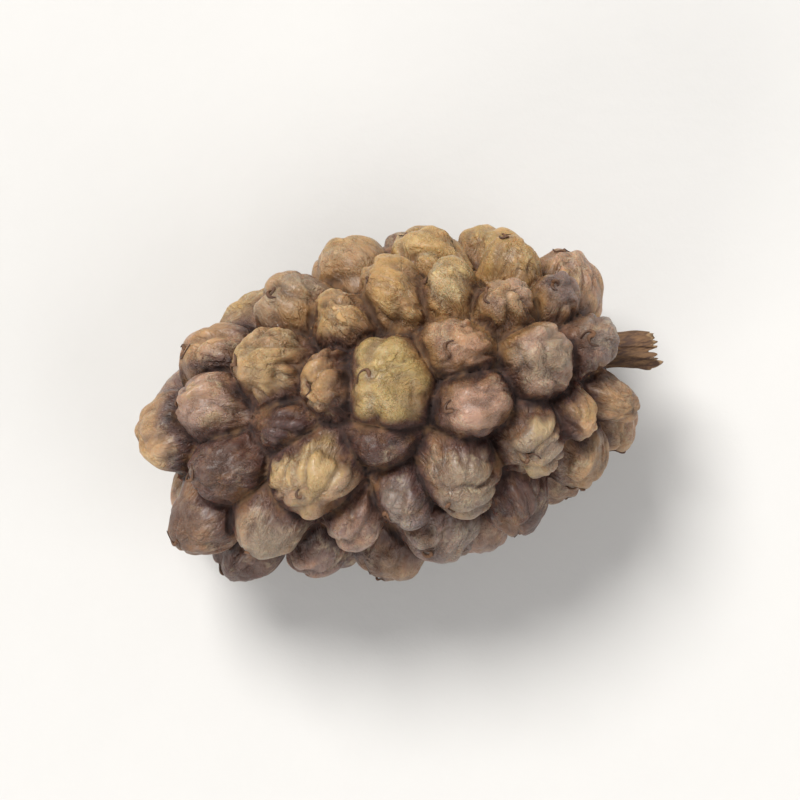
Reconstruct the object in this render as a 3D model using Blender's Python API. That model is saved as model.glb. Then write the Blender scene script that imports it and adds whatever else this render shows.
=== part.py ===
# One dried mulberry, lying on its side: plump little drupelets packed round an egg-shaped fleshy
# body, with the broken stub of the stalk sunk among them at one end.
# The long axis runs along X, with the tip at -X and the stalk at +X. It rests on z = 0.

import math
import random

import bmesh
import bpy
import numpy as np
from mathutils import Matrix, Vector

MM = 0.001

# The whole fruit as it lies
LENGTH = 17.0 * MM
WIDTH = 11.3 * MM
HEIGHT = 9.9 * MM
FULLER_STALK_END = 0.06  # how much wider the body is towards the stalk than at its middle
BLUNT_ENDS = 0.78  # 1 gives the ends of an egg, less gives blunter ones
BEND = 0.35 * MM  # how far the ends curl towards -Y
TIP_LOWER = 0.03  # slope of the axis down to the tip, as it lies
PRESSED = 1.9 * MM  # up to this height the fruit dried squat, from its weight on the tray
PRESS_LIMIT = 1.6 * MM  # what is left of that height
SETTLED = 0.16 * MM  # how much of the lowest drupelets has dried quite flat
OUT_OF_ROUND = 0.030  # how much wider and flatter the body is in one place than in another
WAVE_ALONG = 3.1  # how fast that changes along the body, in radians to its half length
WAVE_START = 0.7
WAVE_TURN = 0.6  # and how far round from +Y it starts, in radians

# The drupelets
DRUPELETS = 66
DRUPELET_HEIGHT = 1.60 * MM  # from the middle of a drupelet to its crest
COVER = 1.20  # how far a drupelet reaches past the patch of skin that is its own
SIZE_RANGE = 0.16  # how much larger or smaller than the average a drupelet may be
SHRINKAGE = 0.16 * MM  # how far below the crests round them some drupelets have dried
LEAN = 0.22  # how far the crests lean towards the tip
CORE_DEPTH = 1.30 * MM  # from the crests down to the flesh that carries the drupelets
SIZE_IN_HEIGHT = 0.5  # how much of a drupelet's size shows in its height
ROUNDED = 0.5  # 0 lets a drupelet be as long as its patch of skin, 1 makes it round
SCATTER = 0.05  # how far off the spiral the drupelets start
DRUPELET_AROUND = 14
DRUPELET_RINGS = 9
CORE_AROUND = 24
CORE_RINGS = 16

# The drupelets that face up: along X and across Y in millimetres, size against the average, and
# how far it has sunk below the crests round it, in millimetres
FACING_UP = (
    (-6.2, 2.3, 0.98, 0.10),
    (-3.7, 3.0, 0.98, 0.00),
    (-1.9, 1.6, 0.84, 0.05),
    (-0.1, 0.9, 1.10, 0.00),
    (-0.9, 3.9, 0.92, 0.12),
    (1.0, 4.4, 0.92, 0.05),
    (2.9, 3.9, 0.96, 0.00),
    (4.6, 2.7, 0.98, 0.05),
    (5.4, 4.2, 0.90, 0.10),
    (6.7, 2.6, 0.88, 0.20),
    (7.6, 0.4, 0.92, 0.15),
    (2.5, 1.5, 0.94, 0.12),
    (2.5, -0.9, 1.02, 0.00),
    (5.2, 0.1, 1.06, 0.05),
    (4.1, -3.1, 0.98, 0.10),
    (5.9, -2.6, 0.90, 0.22),
    (-4.1, 0.5, 0.86, 0.45),
    (-6.6, -0.4, 0.96, 0.20),
    (-3.5, -1.9, 1.04, 0.00),
    (-5.4, -3.1, 1.06, 0.00),
    (-2.5, -4.0, 0.84, 0.15),
    (-1.0, -1.4, 0.90, 0.42),
    (-0.6, -3.7, 0.96, 0.08),
    (1.3, -3.6, 1.06, 0.00),
)

# The stalk's stub
STALK_RADIUS = 0.60 * MM
STALK_REACH = 2.6 * MM  # from inside the core to the broken end
STALK_FOOT = 1.1 * MM  # how deep in the core it starts
STALK_AROUND = 12
STALK_RINGS = 4
STALK_BEND = 0.06 * MM  # how much further to -Y each ring goes
BREAK = (-0.12 * MM, 0.06 * MM)  # how uneven the broken end is
DIMPLE_RADIUS = 0.95 * MM  # bare patch round the stalk, kept free of drupelets

FLESH_COLOUR = (0.17, 0.085, 0.045)
FLESH_ROUGHNESS = 0.55

SEED = 23
SPACING_ROUNDS = 12
SKIN_SAMPLES = 6000  # points of the skin that share out the room between the drupelets
GOLDEN_ANGLE = math.pi * (3.0 - math.sqrt(5.0))
SEMI_LENGTH = LENGTH / 2
SEMI_WIDTH = WIDTH / 2

# Limits that keep the sums sound at the very ends of the body
NEAR_END = 0.999
LAST_PLACE = 0.97  # no drupelet sits nearer to an end
THINNEST = 0.04
LEAST_UP = 0.03
STEP = 0.001


def unit(vectors):
    return vectors / np.linalg.norm(vectors, axis=-1, keepdims=True)


# How wide the body is at each place along it, from 1 at the stalk to -1 at the tip, and the
# share of that width that a direction from the middle is multiplied by
def girth(along):
    across = np.sqrt(np.clip(1.0 - along**2, THINNEST**2, 1.0))
    return SEMI_WIDTH * (1.0 + FULLER_STALK_END * along) * across ** (BLUNT_ENDS - 1.0)


def crest(directions):
    along = directions[:, 0]
    width = girth(along)
    return np.column_stack(
        [SEMI_LENGTH * along, width * directions[:, 1], width * directions[:, 2]]
    )


# Which way the body faces there, from the slope of its side
def facing(directions):
    along = np.clip(directions[:, 0], -NEAR_END, NEAR_END)
    across = np.sqrt(1.0 - along**2)
    slope = (side_height(along + STEP) - side_height(along - STEP)) / (2 * STEP * SEMI_LENGTH)
    round_x = directions[:, 1:] / across[:, None]
    return unit(np.column_stack([-slope, round_x]))


def side_height(along):
    return girth(along) * np.sqrt(np.clip(1.0 - along**2, 0.0, 1.0))


# The direction whose crest is nearest to a point of the body
def direction_of(points):
    along = np.clip(points[:, 0] / SEMI_LENGTH, -LAST_PLACE, LAST_PLACE)
    width = girth(along)
    found = np.column_stack([along, points[:, 1] / width, points[:, 2] / width])
    over = np.linalg.norm(found[:, 1:], axis=1) / np.sqrt(1.0 - along**2)
    found[:, 1:] /= over[:, None]
    return found


def facing_up():
    found = []
    for x, y, _, _ in FACING_UP:
        along = x * MM / SEMI_LENGTH
        side = y * MM / girth(np.array([along]))[0]
        up = math.sqrt(max(1.0 - along**2 - side**2, LEAST_UP))
        found.append((along, side, up))
    return unit(np.array(found))


# Where the drupelets sit. Those that face up have their own places. The others start on a
# spiral from stalk to tip, then each moves to the middle of the skin that is nearest to it.
def drupelet_directions(draw, samples):
    fixed = facing_up()
    spiral = spiral_directions(DRUPELETS)
    scatter = np.array([[draw.gauss(0.0, SCATTER) for _ in range(3)] for _ in spiral])
    spiral = unit(spiral + scatter)
    far = np.linalg.norm(crest(spiral)[:, None] - crest(fixed)[None], axis=2).min(axis=1)
    free = spiral[np.sort(np.argsort(-far)[: DRUPELETS - len(fixed)])]
    directions = np.vstack([fixed, free])
    sizes = np.array(
        [size for _, _, size, _ in FACING_UP]
        + [1.0 + draw.uniform(-SIZE_RANGE, SIZE_RANGE) for _ in free]
    )
    skin = crest(samples)
    for _ in range(SPACING_ROUNDS):
        nearest = nearest_drupelet(skin, crest(directions), sizes)
        for i in range(len(fixed), DRUPELETS):
            directions[i] = direction_of(skin[nearest == i].mean(axis=0)[None])[0]
    return directions, sizes


def spiral_directions(count):
    along = 1.0 - 2.0 * (np.arange(count) + 0.5) / count
    across = np.sqrt(1.0 - along**2)
    turn = np.arange(count) * GOLDEN_ANGLE
    return np.column_stack([along, across * np.cos(turn), across * np.sin(turn)])


# The number of the drupelet that each point of the skin belongs to, or -1 round the stalk
def nearest_drupelet(skin, drupelets, sizes):
    far = np.linalg.norm(skin[:, None] - drupelets[None], axis=2) / sizes
    nearest = far.argmin(axis=1)
    bare = np.hypot(skin[:, 1], skin[:, 2]) < DIMPLE_RADIUS
    nearest[bare & (skin[:, 0] > 0.0)] = -1
    return nearest


# Each drupelet is an ellipsoid: its middle, and its three half axes as the columns of a matrix.
# It stretches to cover the patch of skin that is nearest to it.
def drupelet_ellipsoids(draw):
    samples = spiral_directions(SKIN_SAMPLES)
    directions, sizes = drupelet_directions(draw, samples)
    outward = facing(directions)
    tipward = np.array([-1.0, 0.0, 0.0]) + outward * outward[:, :1]
    axes = unit(outward + LEAN * tipward)
    heights = DRUPELET_HEIGHT * (1.0 + SIZE_IN_HEIGHT * (sizes - 1.0))
    sunk = np.array([abs(draw.gauss(0.0, SHRINKAGE)) for _ in sizes])
    sunk[: len(FACING_UP)] = [depth * MM for _, _, _, depth in FACING_UP]
    middles = crest(directions) - axes * (heights + sunk)[:, None]

    skin = crest(samples) - facing(samples) * DRUPELET_HEIGHT
    nearest = nearest_drupelet(skin, middles, sizes)
    halves = np.empty((DRUPELETS, 3, 3))
    for i in range(DRUPELETS):
        patch = skin[nearest == i] - middles[i]
        side = unit(np.cross(axes[i], [1.0, 0.0, 0.0]))
        other = np.cross(axes[i], side)
        flat = np.column_stack([patch @ side, patch @ other])
        room, turn = np.linalg.eigh(flat.T @ flat / len(flat))
        half = COVER * 2.0 * np.sqrt(room)
        half = half + ROUNDED * (half.mean() - half)
        first = turn[0, 0] * side + turn[1, 0] * other
        second = turn[0, 1] * side + turn[1, 1] * other
        halves[i] = np.column_stack([first * half[0], second * half[1], axes[i] * heights[i]])
    return middles, halves


def object_from(bm, name, collection):
    mesh = bpy.data.meshes.new(name)
    bmesh.ops.recalc_face_normals(bm, faces=bm.faces[:])
    bm.to_mesh(mesh)
    bm.free()
    made = bpy.data.objects.new(name, mesh)
    collection.objects.link(made)
    return made


# The flesh that carries the drupelets
def make_core(collection):
    bm = bmesh.new()
    bmesh.ops.create_uvsphere(bm, u_segments=CORE_AROUND, v_segments=CORE_RINGS, radius=1.0)
    spun = Matrix.Rotation(math.pi / 2, 3, "Y")
    bmesh.ops.rotate(bm, cent=(0, 0, 0), matrix=spun, verts=bm.verts[:])
    share = np.array(
        [SEMI_LENGTH - CORE_DEPTH, SEMI_WIDTH - CORE_DEPTH, SEMI_WIDTH - CORE_DEPTH]
    ) / np.array([SEMI_LENGTH, SEMI_WIDTH, SEMI_WIDTH])
    directions = unit(np.array([vertex.co for vertex in bm.verts], dtype=float))
    for vertex, point in zip(bm.verts, crest(directions) * share):
        vertex.co = point
    return object_from(bm, "mulberry", collection)


def make_drupelets(draw, collection):
    for middle, half in zip(*drupelet_ellipsoids(draw)):
        bm = bmesh.new()
        bmesh.ops.create_uvsphere(
            bm, u_segments=DRUPELET_AROUND, v_segments=DRUPELET_RINGS, radius=1.0
        )
        spun = Matrix.Rotation(draw.uniform(0.0, math.pi), 3, "Z")
        bmesh.ops.rotate(bm, cent=(0, 0, 0), matrix=spun, verts=bm.verts[:])
        balls = np.array([vertex.co for vertex in bm.verts], dtype=float)
        for vertex, point in zip(bm.verts, balls @ half.T + middle):
            vertex.co = point
        object_from(bm, "drupelet", collection)


# A short rod that bends a little and ends in a rough break
def make_stalk(draw, collection):
    bm = bmesh.new()
    upright = Matrix.Rotation(math.pi / 2, 4, "Y")
    foot = Vector((SEMI_LENGTH - CORE_DEPTH - STALK_FOOT, 0.0, 0.0))
    bmesh.ops.create_circle(
        bm,
        cap_ends=True,
        cap_tris=True,
        segments=STALK_AROUND,
        radius=STALK_RADIUS,
        matrix=Matrix.Translation(foot) @ upright,
    )
    faces = bm.faces[:]
    for ring in range(1, STALK_RINGS + 1):
        grown = bmesh.ops.extrude_face_region(bm, geom=faces)["geom"]
        if ring > 1:
            bmesh.ops.delete(bm, geom=faces, context="FACES")
        faces = [item for item in grown if isinstance(item, bmesh.types.BMFace)]
        rim = [item for item in grown if isinstance(item, bmesh.types.BMVert)]
        for vertex in rim:
            vertex.co.x += STALK_REACH / STALK_RINGS
            vertex.co.y -= STALK_BEND * ring
            if ring == STALK_RINGS:
                vertex.co.x += draw.uniform(*BREAK)
    object_from(bm, "stalk", collection)


def fuse(body, collection):
    joined = body.modifiers.new("fused", "BOOLEAN")
    joined.operation = "UNION"
    joined.operand_type = "COLLECTION"
    joined.collection = collection
    joined.solver = "EXACT"
    evaluated = body.evaluated_get(bpy.context.evaluated_depsgraph_get())
    mesh = bpy.data.meshes.new_from_object(evaluated)
    body.modifiers.clear()
    body.data = mesh
    for piece in list(collection.objects):
        bpy.data.objects.remove(piece, do_unlink=True)
    bpy.data.collections.remove(collection)


# The fruit dried a little bent and not quite round, and squat where it lay
def dry_out(points):
    x, y, z = points.T / SEMI_LENGTH
    wave = np.sin(WAVE_ALONG * x + WAVE_START) * np.cos(2.0 * np.arctan2(z, y) + WAVE_TURN)
    squeeze = 1.0 + OUT_OF_ROUND * wave
    y = y * squeeze - BEND / SEMI_LENGTH * x**2
    z = z * (2.0 - squeeze) + TIP_LOWER * x
    points = np.column_stack([x, y, z]) * SEMI_LENGTH
    pressed_from = points[:, 2].min() + PRESSED
    below = np.clip(pressed_from - points[:, 2], 0.0, None)
    points[:, 2] += below - PRESS_LIMIT * (1.0 - np.exp(-below / PRESS_LIMIT))
    return points


# Brings the dried shape to its real size, with its lowest drupelets flat on z = 0
def settle(body):
    points = dry_out(np.array([vertex.co for vertex in body.data.vertices], dtype=float))
    low, high = points.min(axis=0), points.max(axis=0)
    wanted = np.array([LENGTH, WIDTH, HEIGHT + SETTLED])
    points = (points - (low + high) / 2) * wanted / (high - low)
    points[:, 2] += HEIGHT - wanted[2] / 2

    bm = bmesh.new()
    bm.from_mesh(body.data)
    for vertex, point in zip(bm.verts, points):
        vertex.co = point
    cut = bmesh.ops.bisect_plane(
        bm,
        geom=bm.verts[:] + bm.edges[:] + bm.faces[:],
        plane_co=(0, 0, 0),
        plane_no=(0, 0, 1),
        clear_inner=True,
    )["geom_cut"]
    rims = [item for item in cut if isinstance(item, bmesh.types.BMEdge)]
    bmesh.ops.holes_fill(bm, edges=rims, sides=0)
    bmesh.ops.triangulate(bm, faces=bm.faces[:])
    bmesh.ops.recalc_face_normals(bm, faces=bm.faces[:])
    bm.to_mesh(body.data)
    bm.free()


def material(name, colour, roughness):
    made = bpy.data.materials.new(name)
    made.use_nodes = True
    shader = made.node_tree.nodes["Principled BSDF"]
    shader.inputs["Base Color"].default_value = (*colour, 1.0)
    shader.inputs["Roughness"].default_value = roughness
    shader.inputs["Metallic"].default_value = 0.0
    return made


def main():
    for old in list(bpy.data.objects):
        bpy.data.objects.remove(old, do_unlink=True)
    collection = bpy.data.collections.new("dried_mulberry")
    bpy.context.scene.collection.children.link(collection)
    joining = bpy.data.collections.new("joining")
    bpy.context.scene.collection.children.link(joining)

    draw = random.Random(SEED)
    mulberry = make_core(collection)
    make_drupelets(draw, joining)
    make_stalk(draw, joining)
    fuse(mulberry, joining)
    settle(mulberry)
    mulberry.data.materials.clear()
    mulberry.data.materials.append(material("dried_flesh", FLESH_COLOUR, FLESH_ROUGHNESS))


main()
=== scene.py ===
import math
import random

import bmesh
import bpy
import numpy as np
from mathutils import Matrix, Vector, noise
from mathutils.bvhtree import BVHTree


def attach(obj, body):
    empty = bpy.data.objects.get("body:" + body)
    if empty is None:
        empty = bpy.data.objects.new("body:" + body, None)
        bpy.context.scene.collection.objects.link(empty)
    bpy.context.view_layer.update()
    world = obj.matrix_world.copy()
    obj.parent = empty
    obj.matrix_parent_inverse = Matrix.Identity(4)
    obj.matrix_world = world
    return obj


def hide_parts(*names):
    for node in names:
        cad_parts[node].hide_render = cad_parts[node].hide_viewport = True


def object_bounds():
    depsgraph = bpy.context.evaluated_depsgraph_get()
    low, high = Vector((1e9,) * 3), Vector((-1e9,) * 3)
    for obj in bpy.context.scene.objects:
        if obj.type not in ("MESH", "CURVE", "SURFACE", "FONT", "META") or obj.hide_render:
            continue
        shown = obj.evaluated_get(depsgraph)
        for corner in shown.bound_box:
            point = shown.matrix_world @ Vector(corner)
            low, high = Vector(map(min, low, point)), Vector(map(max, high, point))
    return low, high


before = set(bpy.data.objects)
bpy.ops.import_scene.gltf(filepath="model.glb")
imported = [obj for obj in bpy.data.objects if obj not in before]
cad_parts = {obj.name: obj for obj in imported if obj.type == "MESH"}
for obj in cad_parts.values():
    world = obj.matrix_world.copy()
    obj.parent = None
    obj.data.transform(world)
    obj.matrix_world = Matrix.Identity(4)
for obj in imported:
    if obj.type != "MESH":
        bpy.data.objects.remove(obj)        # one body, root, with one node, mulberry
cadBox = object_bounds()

# One dried mulberry on a pale floor, seen from straight above.
# Shapes are worked out in millimetres, and put into metres when a mesh is made.

mm = 0.001
goldenAngle = math.pi * (3.0 - math.sqrt(5.0))


def srgb(red, green, blue):
    # from 0 to 255, as an eye-dropper gives them, to the linear numbers that shaders take
    shares = [value / 255.0 for value in (red, green, blue)]
    return [s / 12.92 if s <= 0.04045 else ((s + 0.055) / 1.055) ** 2.4 for s in shares]


def unit(vectors):
    return vectors / np.linalg.norm(vectors, axis=-1, keepdims=True)


def smooth(low, high, values):
    share = np.clip((values - low) / (high - low), 0.0, 1.0)
    return share * share * (3.0 - 2.0 * share)


def newObject(name, data):
    made = bpy.data.objects.new(name, data)
    bpy.context.scene.collection.objects.link(made)
    return made


def meshObject(name, points, faces):
    mesh = bpy.data.meshes.new(name)
    mesh.from_pydata((np.asarray(points) * mm).tolist(), [], faces)
    mesh.update()
    mesh.shade_smooth()
    return newObject(name, mesh)


# The whole fruit. Its length and width are those of the frame's own solid.
cadLow, cadHigh = (np.array(corner) / mm for corner in cadBox)
semiLength, semiWidth, _ = (round(float(size), 3) / 2 for size in cadHigh - cadLow)
fruit = {
    "fullerStalkEnd": 0.06,
    "bluntEnds": 0.78,  # 1 gives those of an egg, less gives blunter ones
    "bend": 0.35,
    "tipLower": 0.03,
    "outOfRound": 0.03,
    "outOfRoundWaves": (3.1, 0.7, 0.6),  # how often along it, and where they start
    "pressed": 1.9,  # up to this height it dried squat
    "pressLimit": 1.6,
    "settled": 0.16,  # what is flat at the very bottom
    "seed": 23,
}

# Flesh tones, as the photo shows them on the crests
tones = {
    "golden": srgb(180, 144, 87),
    "tan": srgb(169, 136, 99),
    "pink": srgb(175, 141, 124),
    "cream": srgb(188, 160, 110),
    "olive": srgb(160, 136, 80),
    "mauve": srgb(120, 101, 97),
    "grey": srgb(138, 121, 103),
    "brown": srgb(98, 72, 57),
    "plum": srgb(70, 46, 41),
}

drupelets = {
    "count": 66,
    "height": 1.6,  # from its middle to its crest
    "cover": 1.2,  # how far it reaches past the skin that is its own
    "sizeRange": 0.16,
    "shrinkage": 0.16,
    "lean": 0.22,
    "coreDepth": 1.3,
    "dimple": 0.95,  # bare patch round the stalk
    "stray": 0.05,  # how far they stray from a spiral before they are spaced
    "spacingRounds": 12,
    "drawnIn": (0.82, 0.98),  # how wide they are against where they touched when fresh
    "samples": 6000,
    # those that face up: along X, across Y, size, how far sunk, tone, second tone
    "facingUp": [
        (-6.2, 2.3, 0.98, 0.1, "pink", "cream"),
        (-3.7, 3.0, 0.98, 0.0, "cream", "tan"),
        (-1.9, 1.6, 0.84, 0.05, "tan", "golden"),
        (-0.1, 0.9, 1.1, 0.0, "olive", "cream"),
        (-0.9, 3.9, 0.92, 0.12, "golden", "tan"),
        (1.0, 4.4, 0.92, 0.05, "golden", "cream"),
        (2.9, 3.9, 0.96, 0.0, "cream", "golden"),
        (4.6, 2.7, 0.98, 0.05, "tan", "pink"),
        (5.4, 4.2, 0.9, 0.1, "golden", "tan"),
        (6.7, 2.6, 0.88, 0.2, "mauve", "grey"),
        (7.6, 0.4, 0.92, 0.15, "mauve", "grey"),
        (2.5, 1.5, 0.94, 0.12, "pink", "tan"),
        (2.5, -0.9, 1.02, 0.0, "pink", "pink"),
        (5.2, 0.1, 1.06, 0.05, "grey", "pink"),
        (4.1, -3.1, 0.98, 0.1, "grey", "cream"),
        (5.9, -2.6, 0.9, 0.22, "tan", "cream"),
        (-4.1, 0.5, 0.86, 0.7, "plum", "brown"),
        (-6.6, -0.4, 0.96, 0.3, "plum", "brown"),
        (-3.5, -1.9, 1.04, 0.0, "cream", "pink"),
        (-5.4, -3.1, 1.06, 0.0, "grey", "cream"),
        (-2.5, -4.0, 0.84, 0.15, "pink", "mauve"),
        (-1.0, -1.4, 0.9, 0.68, "plum", "brown"),
        (-0.6, -3.7, 0.96, 0.08, "mauve", "grey"),
        (1.3, -3.6, 1.06, 0.0, "grey", "mauve"),
    ],
    # how often each tone comes among the others, and along the two edges
    "otherTones": ["golden", "tan", "tan", "pink", "mauve", "grey", "brown", "tan", "plum"],
    "upperEdge": ["golden", "golden", "tan", "cream"],
    "lowerEdge": ["mauve", "brown", "grey", "plum", "tan"],
    "edgeFrom": 2.8,  # an edge: this far across, and not far below the middle
    "edgeBelow": -1.5,
    # the second tones that the others may have
    "patchTones": {
        "golden": ["tan", "olive", "cream"],
        "tan": ["golden", "pink", "grey"],
        "pink": ["tan", "cream", "mauve"],
        "cream": ["golden", "tan"],
        "olive": ["cream", "golden"],
        "mauve": ["grey", "pink"],
        "grey": ["mauve", "cream", "tan"],
        "brown": ["plum", "tan"],
        "plum": ["mauve", "brown"],
    },
    "patchSize": 0.9,  # in radii of the drupelet
    "patchReach": (-0.26, 0.1),  # from the least patched drupelet to the most
    "alike": 0.16,  # how far all of them go towards plain tan
    "lightness": (0.84, 1.08),
    "warmth": 0.03,
    "shared": (0.5, 0.06),  # how much of its tone each gives to the next, and how far
    "bareFrom": (1.12, 1.32),  # the core shows between them from here, in radii
    "leastAwayFromLight": 0.06,
    "awayFromLightAcross": (7.6, 4.6),  # from clefts painted paler on the side towards the light to clefts in painted shade on the side away from it
    "lightSlant": (0.22, 1.0, 0.6),  # which way the side towards the light faces
}


# The body that carries the drupelets: an egg with blunt ends. Its sums stop short of the tips.
stopShort = {"girth": 0.0016, "slope": 0.999, "place": 0.97, "upward": 0.03, "step": 0.001}


def girth(along):
    across = np.sqrt(np.clip(1.0 - along**2, stopShort["girth"], 1.0))
    blunting = across ** (fruit["bluntEnds"] - 1.0)
    return semiWidth * (1.0 + fruit["fullerStalkEnd"] * along) * blunting


def crest(directions):
    width = girth(directions[:, 0])
    return directions * np.c_[np.full(len(width), semiLength), width, width]


def facing(directions):
    along = np.clip(directions[:, 0], -stopShort["slope"], stopShort["slope"])
    across = np.sqrt(1.0 - along**2)
    step = stopShort["step"]
    ahead, behind = (
        girth(x) * np.sqrt(np.clip(1.0 - x**2, 0.0, 1.0)) for x in (along + step, along - step)
    )
    slope = (ahead - behind) / (2 * step * semiLength)
    return unit(np.c_[-slope, directions[:, 1:] / across[:, None]])


def directionOf(points):
    along = np.clip(points[:, 0] / semiLength, -stopShort["place"], stopShort["place"])
    return np.c_[along, unit(points[:, 1:]) * np.sqrt(1.0 - along**2)[:, None]]


def tipward(axes):
    return [-1.0, 0.0, 0.0] + axes * axes[..., :1]


def facingUp():
    x, y = np.array([row[:2] for row in drupelets["facingUp"]]).T
    along = x / semiLength
    side = y / girth(along)
    up = np.sqrt(np.maximum(1.0 - along**2 - side**2, stopShort["upward"]))
    return unit(np.c_[along, side, up])


def spiral(count):
    along = 1.0 - 2.0 * (np.arange(count) + 0.5) / count
    across = np.sqrt(1.0 - along**2)
    turn = np.arange(count) * goldenAngle
    return np.c_[along, across * np.cos(turn), across * np.sin(turn)]


def nearestDrupelet(skin, middles, sizes):
    far = np.linalg.norm(skin[:, None] - middles[None], axis=2) / sizes
    nearest = far.argmin(axis=1)
    bare = np.hypot(skin[:, 1], skin[:, 2]) < drupelets["dimple"]
    nearest[bare & (skin[:, 0] > 0.0)] = -1
    return nearest


# The places and sizes of the frame's own drupelets, from the same draws, and then drawn in from
# their neighbours, some more than others
def placeDrupelets():
    draw = random.Random(fruit["seed"])
    drying = random.Random(fruit["seed"] + 1)
    count = drupelets["count"]
    fixed = facingUp()
    start = spiral(count)
    start = unit(start + [[draw.gauss(0.0, drupelets["stray"]) for _ in range(3)] for _ in start])
    far = np.linalg.norm(crest(start)[:, None] - crest(fixed)[None], axis=2).min(axis=1)
    free = start[np.sort(np.argsort(-far)[: count - len(fixed)])]
    directions = np.vstack([fixed, free])
    rows, spread = drupelets["facingUp"], drupelets["sizeRange"]
    sizes = [row[2] for row in rows] + [1.0 + draw.uniform(-spread, spread) for _ in free]
    sizes = np.array(sizes)
    samples = spiral(drupelets["samples"])
    skin = crest(samples)
    for _ in range(drupelets["spacingRounds"]):
        nearest = nearestDrupelet(skin, crest(directions), sizes)
        for i in range(len(fixed), count):
            directions[i] = directionOf(skin[nearest == i].mean(axis=0)[None])[0]

    outward = facing(directions)
    axes = unit(outward + drupelets["lean"] * tipward(outward))
    heights = drupelets["height"] * (0.5 + 0.5 * sizes)
    sunk = np.array([abs(draw.gauss(0.0, drupelets["shrinkage"])) for _ in sizes])
    sunk[: len(fixed)] = [row[3] for row in rows]
    middles = crest(directions) - axes * (heights + sunk)[:, None]

    skin = crest(samples) - facing(samples) * drupelets["height"]
    nearest = nearestDrupelet(skin, middles, sizes)
    halves = np.empty((count, 3, 3))
    for i in range(count):
        patch = skin[nearest == i] - middles[i]
        side = unit(np.cross(axes[i], [1.0, 0.0, 0.0]))
        other = np.cross(axes[i], side)
        flat = np.c_[patch @ side, patch @ other]
        room, turn = np.linalg.eigh(flat.T @ flat / len(flat))
        half = drupelets["cover"] * 2.0 * np.sqrt(room)  # twice the spread reaches the edge
        half = 0.5 * (half + half.mean())
        first, second = turn.T @ [side, other]
        second *= np.sign(np.dot(np.cross(first, second), axes[i]))
        halves[i] = np.c_[first * half[0], second * half[1], axes[i] * heights[i]]
        halves[i][:, :2] *= drying.uniform(*drupelets["drawnIn"])
    return middles, halves


middles, halves = placeDrupelets()
toBall = np.linalg.inv(halves)
print("placed", len(middles), "drupelets")


def inBall(points, i):
    return (points - middles[i]) @ toBall[i].T


# How each drupelet dried: puckered round the scar of its style, folded down its sides, and
# some of them caved in beside the seed
puckers = {
    "seed": 57,
    "scarTilt": (0.1, 0.45),  # how far the scar sits from the crest, towards the tip
    "scarStray": 0.1,
    "scarDepth": 0.055,
    "scarWidth": 0.15,
    "rimHeight": 0.022,
    "rimAt": 0.3,
    "rimWidth": 0.11,
    "foldCount": (3, 5),
    "foldStray": 0.28,
    "foldDepth": (0.035, 0.115),
    "foldWidth": (0.1, 0.19),
    "foldWaver": 0.35,
    "foldStart": (0.1, 0.4),  # angles from the scar between which they deepen
    "foldEnd": (1.25, 1.8),  # and fade out again
    "lumpSize": 0.75,
    "lumpDepth": 0.05,
    "cavedShare": 0.35,
    "cavedDepth": (0.07, 0.17),
    "cavedUp": (0.3, 0.9),  # how near the crest
    "cavedFrom": 0.45,
}


# Moves a noise somewhere else, so that no two places look alike
def farOff(draw, reach):
    return [draw.uniform(-reach, reach) for _ in range(3)]


def drawTraits():
    draw = random.Random(puckers["seed"])
    traits = []
    for i in range(drupelets["count"]):
        axis = unit(halves[i][:, 2])
        lean = draw.uniform(*puckers["scarTilt"])
        stray = np.array([draw.gauss(0.0, puckers["scarStray"]) for _ in range(3)])
        scar = unit(toBall[i] @ (axis + lean * unit(tipward(axis)) + stray))
        side = unit(np.cross(scar, [0.3, 0.9, 0.1]))  # any direction will do
        count = draw.randint(*puckers["foldCount"])
        first = draw.uniform(0.0, math.tau)
        folds = []
        for k in range(count):
            stray = draw.uniform(-puckers["foldStray"], puckers["foldStray"])
            where = first + math.tau * (k + stray) / count
            depth = draw.uniform(*puckers["foldDepth"])
            folds.append((where, depth, draw.uniform(*puckers["foldWidth"])))
        turn = draw.uniform(0.0, math.tau)
        caved = unit(np.array([math.cos(turn), math.sin(turn), draw.uniform(*puckers["cavedUp"])]))
        depth = draw.uniform(*puckers["cavedDepth"])
        depth *= draw.random() <= puckers["cavedShare"]
        trait = {"scar": scar, "side": side, "other": np.cross(scar, side), "folds": folds}
        trait |= {"caved": caved, "cavedDepth": depth, "offset": farOff(draw, 40.0)}
        traits.append(trait)
    return traits


traits = drawTraits()


def noiseAt(points, often, offset):
    return np.array([noise.noise(point) for point in (points * often + offset).tolist()])


def layered(points, layers, offset):
    return sum(amount * noiseAt(points, often, offset) for often, amount in layers)


# Angle from a drupelet's scar and turn about it, for directions in its own ball, and its marks
def marksAt(ball, trait):
    polar = np.arccos(np.clip(ball @ trait["scar"], -1.0, 1.0))
    turn = np.arctan2(ball @ trait["other"], ball @ trait["side"])
    lumps = noiseAt(ball, 1.0 / puckers["lumpSize"], trait["offset"])
    folds = np.zeros_like(polar)
    reach = smooth(*puckers["foldStart"], polar) * (1.0 - smooth(*puckers["foldEnd"], polar))
    for where, deep, wide in trait["folds"]:
        away = turn - where + puckers["foldWaver"] * lumps
        away = (away + math.pi) % math.tau - math.pi
        across = away * np.sin(polar) / wide
        folds += deep * np.exp(-across * across) * reach
    return polar, turn, lumps, folds, np.exp(-((polar / puckers["scarWidth"]) ** 2))


def driedRadius(ball, trait):
    polar, _, lumps, folds, scar = marksAt(ball, trait)
    rim = (polar - puckers["rimAt"]) / puckers["rimWidth"]
    radius = 1.0 + puckers["lumpDepth"] * lumps - puckers["scarDepth"] * scar
    radius += puckers["rimHeight"] * np.exp(-(rim**2)) - folds
    radius -= trait["cavedDepth"] * smooth(puckers["cavedFrom"], 1.0, ball @ trait["caved"])
    return radius


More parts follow.
